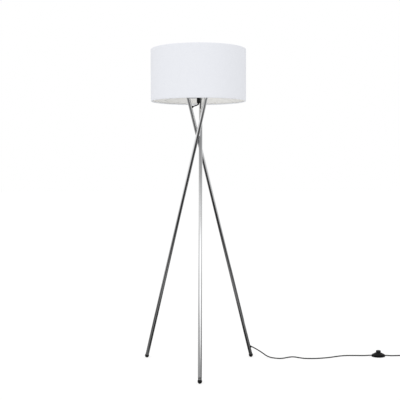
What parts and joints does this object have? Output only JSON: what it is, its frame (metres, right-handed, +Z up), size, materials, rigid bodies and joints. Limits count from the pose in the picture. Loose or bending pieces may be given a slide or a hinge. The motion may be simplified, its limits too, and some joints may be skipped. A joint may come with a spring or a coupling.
{
  "type": "tripod floor lamp",
  "caption": "Floor lamp on crossed chrome tubes with rubber feet, a white drum shade, a bulb in its holder, and black flex with a foot switch and a mains plug.",
  "frame": {"origin": "on the floor, straight below the drum shade's axis", "axes": "+Z up the shade's axis; -Y towards the front foot's side, where the viewer stands; +X to the viewer's right, the side that the flex leaves on"},
  "size_m": [1.4216, 0.6565, 1.509],
  "materials": {
    "chrome_tube": "polished",
    "rubber_black": "matt",
    "flex_black": "satin",
    "plastic_black": "satin",
    "plastic_gloss_black": "glossy",
    "button_black": "satin",
    "shade_fabric": "woven",
    "shade_lining": "satin",
    "wire_white": "satin",
    "zinc_steel": "zinc plated",
    "steel_spring": "drawn wire",
    "aluminium_plug": "turned",
    "brass": "bright",
    "nickel_cap": "bright",
    "ceramic": "glazed",
    "bulb_white": "glossy",
    "bulb_opal": "opal",
    "wire_insulation": "satin",
    "carrier_grey": "matt",
    "fuse_carrier": "satin"
  },
  "bodies": {
    "lamp": {"leg_front": "chrome_tube", "leg_right": "chrome_tube", "leg_left": "chrome_tube", "foot_front": "rubber_black", "foot_right": "rubber_black", "foot_left": "rubber_black", "waist_studs": "zinc_steel", "tube_plugs": "aluminium_plug", "top_plate": "chrome_tube", "plate_screws": "zinc_steel", "nipple": "brass", "lock_washer": "zinc_steel", "lock_nut": "zinc_steel", "cord_grip": "plastic_black", "grip_screw": "plastic_black", "holder_cap": "plastic_gloss_black", "holder_body": "plastic_gloss_black", "holder_insert": "ceramic", "screw_shell": "brass", "centre_contact": "brass", "terminal_screws": "brass", "core_wires": "wire_insulation", "shade_ring_lower": "plastic_gloss_black", "shade_ring_upper": "plastic_gloss_black", "bulb_cap": "nickel_cap", "bulb_housing": "bulb_white", "bulb_globe": "bulb_opal", "shade_fabric": "shade_fabric", "shade_lining": "shade_lining", "top_ring": "wire_white", "bottom_ring": "wire_white", "spider_arms": "wire_white", "spider_hub": "wire_white", "leg_cable": "flex_black", "upper_grommet": "rubber_black", "lower_grommet": "rubber_black", "floor_cord": "flex_black", "plug_cord": "flex_black", "cord_coil": "flex_black", "coil_ties": "plastic_black", "plug_lead": "flex_black", "switch_base": "plastic_gloss_black", "switch_cover": "plastic_gloss_black", "switch_spring": "steel_spring", "switch_carrier": "carrier_grey", "switch_contacts": "brass", "switch_terminals": "brass", "switch_screws": "zinc_steel", "plug_body": "plastic_black", "plug_relief": "rubber_black", "plug_line_pins": "brass", "plug_earth_pin": "brass", "plug_fuse": "ceramic", "fuse_carrier": "fuse_carrier"},
    "foot_button": {"switch_button": "button_black"}
  },
  "joints": [
    {"name": "foot_button_press", "type": "slide", "parent": "lamp", "child": "foot_button", "axis": [0, 0, -1], "range_m": [0, 0.004], "stiffness_N_per_m": 1200, "springref_m": -0.001, "deforming": ["switch_spring"]}
  ]
}
